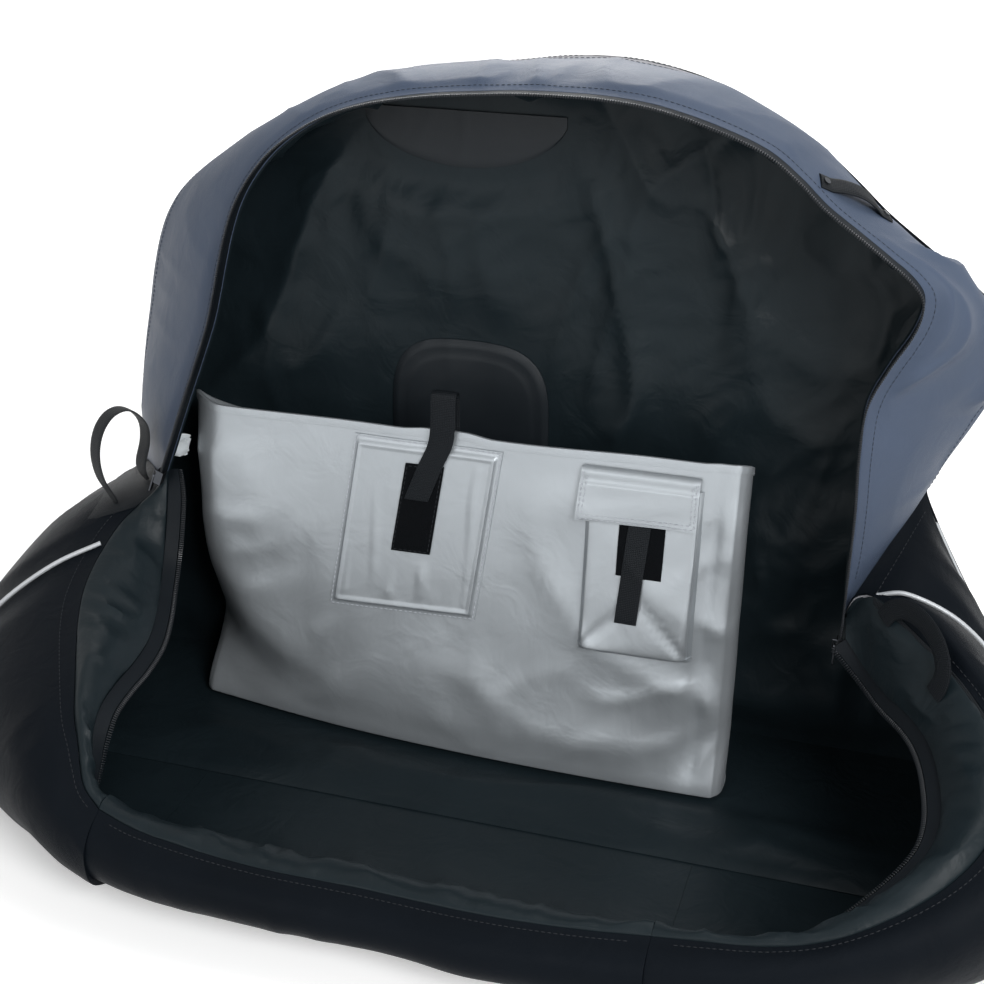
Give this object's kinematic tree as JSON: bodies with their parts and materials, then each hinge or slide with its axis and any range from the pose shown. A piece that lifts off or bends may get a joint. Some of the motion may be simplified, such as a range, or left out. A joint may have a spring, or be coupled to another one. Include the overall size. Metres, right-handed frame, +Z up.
{
  "type": "soft bike travel bag",
  "caption": "Open padded travel bag for a bicycle, with a silver wheel pocket, a zip mouth that has slumped forward, and webbing handles.",
  "frame": {"origin": "Middle of the base's underside, on the floor that the bag stands on.", "axes": "+X along the bag, to the right as seen from its open mouth; +Y from the mouth to the back wall; +Z up."},
  "size_m": [1.383, 0.5789, 0.8556],
  "materials": {
    "outer_cloth": "matte woven",
    "lining_cloth": "quilted, slightly shiny",
    "gusset_cloth": "satin ripstop",
    "pocket_cloth": "coated satin",
    "webbing": "ribbed webbing",
    "label_cloth": "smooth woven",
    "foam": "closed-cell foam",
    "board": "matte",
    "zip_coil": "satin",
    "piping": "retroreflective",
    "rubbing_patch": "grained",
    "zip_metal": "satin"
  },
  "bodies": {
    "bag": {"back_foam": "foam", "back_lining": "lining_cloth", "back_skin": "outer_cloth", "base_board": "board", "base_foam": "foam", "base_lining": "lining_cloth", "base_skin": "outer_cloth", "care_label": "label_cloth", "far_gusset": "gusset_cloth", "far_gusset_lining": "lining_cloth", "far_zip_coil": "zip_coil", "far_zip_tape": "webbing", "grab_strap": "webbing", "grab_strap_rivet_left": "zip_metal", "grab_strap_rivet_right": "zip_metal", "hub_guard_panel": "pocket_cloth", "hub_guard_plate": "board", "hub_loop_patch": "webbing", "hub_pad": "rubbing_patch", "hub_strap_root": "webbing", "left_back_piping": "piping", "left_end_foam": "foam", "left_end_lining": "lining_cloth", "left_end_skin": "outer_cloth", "left_front_piping": "piping", "left_handle_patch": "webbing", "left_near_gusset": "outer_cloth", "left_near_zip_coil": "zip_coil", "left_near_zip_tape": "webbing", "pocket_rim_hem": "pocket_cloth", "right_back_piping": "piping", "right_end_foam": "foam", "right_end_lining": "lining_cloth", "right_end_skin": "outer_cloth", "right_front_piping": "piping", "right_handle_patch": "webbing", "right_near_gusset": "outer_cloth", "right_near_zip_coil": "zip_coil", "right_near_zip_tape": "webbing", "tool_loop_patch": "webbing", "tool_pocket": "pocket_cloth", "top_label": "rubbing_patch", "wheel_pocket": "pocket_cloth"},
    "front_half": {"front_skin": "outer_cloth", "front_foam": "foam", "front_lining": "lining_cloth", "front_near_gusset": "outer_cloth", "front_zip_tape": "webbing", "front_zip_coil": "zip_coil"},
    "left_slider_body": {"left_slider": "zip_metal"},
    "left_tab_body": {"left_pull_tab": "zip_metal"},
    "right_slider_body": {"right_slider": "zip_metal"},
    "right_tab_body": {"right_pull_tab": "zip_metal"},
    "left_handle_body": {"left_end_handle": "webbing"},
    "right_handle_body": {"right_end_handle": "webbing"},
    "hub_strap_body": {"hub_strap": "webbing"},
    "flap_body": {"tool_flap": "pocket_cloth", "tool_flap_strap": "webbing"}
  },
  "joints": [
    {"name": "front_fold", "type": "hinge", "parent": "bag", "child": "front_half", "pos_m": [0, -0.145, 0.0202], "axis": [-1, 0, 0], "range_deg": [0, 70]},
    {"name": "left_slider_travel", "type": "slide", "parent": "bag", "child": "left_slider_body", "axis": [0.3616, 0, 0.9323], "range_m": [0, 0.09]},
    {"name": "left_pull_swing", "type": "hinge", "parent": "left_slider_body", "child": "left_tab_body", "pos_m": [-0.40966, -0.0196, 0.34562], "axis": [0, 1, 0], "range_deg": [0, 170]},
    {"name": "right_slider_travel", "type": "slide", "parent": "bag", "child": "right_slider_body", "axis": [0, 0, 1], "range_m": [0, 0.12]},
    {"name": "right_pull_swing", "type": "hinge", "parent": "right_slider_body", "child": "right_tab_body", "pos_m": [0.42236, -0.0196, 0.25275], "axis": [0, 1, 0], "range_deg": [0, 170]},
    {"name": "left_handle_swing", "type": "hinge", "parent": "bag", "child": "left_handle_body", "pos_m": [-0.46006, -0.00433, 0.32149], "axis": [-0.5122, -0.7788, -0.3621], "range_deg": [-30, 45]},
    {"name": "right_handle_swing", "type": "hinge", "parent": "bag", "child": "right_handle_body", "pos_m": [0.50229, -0.08886, 0.29036], "axis": [0.5969, -0.6926, -0.4049], "range_deg": [0, 75]},
    {"name": "hub_strap_peel", "type": "hinge", "parent": "bag", "child": "hub_strap_body", "pos_m": [-0.04284, 0.0173, 0.47975], "axis": [-1, 0, 0], "range_deg": [0, 110]},
    {"name": "tool_flap_lift", "type": "hinge", "parent": "bag", "child": "flap_body", "pos_m": [0.19, 0.00694, 0.4199], "axis": [-1, 0, 0], "range_deg": [0, 110]}
  ]
}
